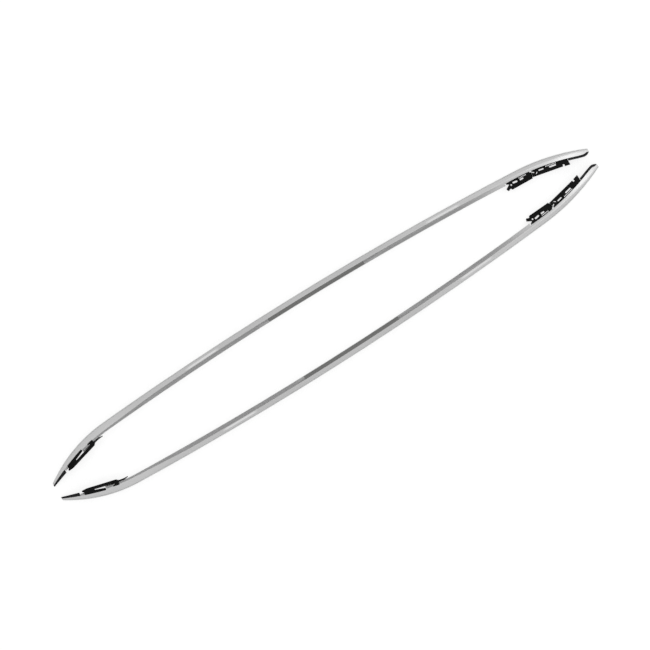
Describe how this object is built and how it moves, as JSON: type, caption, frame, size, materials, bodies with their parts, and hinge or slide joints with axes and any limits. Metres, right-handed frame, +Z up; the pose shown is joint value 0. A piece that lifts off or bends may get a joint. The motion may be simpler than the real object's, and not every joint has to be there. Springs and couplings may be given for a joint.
{
  "type": "roof side rail pair",
  "caption": "Arched hollow aluminium roof side rails with drawn-down ends, ribbed plastic mounting brackets, rubber end seals and threaded inserts for roof bolts.",
  "frame": {"origin": "on the floor, midway between the two rails and midway between their tips", "axes": "+X along the rails to their rounded rear ends, +Y to the left rail, +Z up from the floor the rails lie on"},
  "size_m": [1.85, 0.2402, 0.0399],
  "materials": {
    "satin_aluminium": "satin anodised",
    "strip_rubber": "matte",
    "black_plastic": "moulded, matte",
    "seal_rubber": "matte",
    "plated_steel": "zinc plated"
  },
  "bodies": {
    "root": {"left_rail_bar": "satin_aluminium", "left_underside_strip": "strip_rubber", "left_front_bracket": "black_plastic", "left_front_seal": "seal_rubber", "left_rear_bracket": "black_plastic", "left_rear_end_bracket": "black_plastic", "left_rear_seal": "seal_rubber", "left_front_insert": "plated_steel", "left_rear_insert": "plated_steel", "left_front_screw": "plated_steel", "left_rear_screw": "plated_steel", "right_rail_bar": "satin_aluminium", "right_underside_strip": "strip_rubber", "right_front_bracket": "black_plastic", "right_front_seal": "seal_rubber", "right_rear_bracket": "black_plastic", "right_rear_end_bracket": "black_plastic", "right_rear_seal": "seal_rubber", "right_front_insert": "plated_steel", "right_rear_insert": "plated_steel", "right_front_screw": "plated_steel", "right_rear_screw": "plated_steel"}
  },
  "joints": []
}
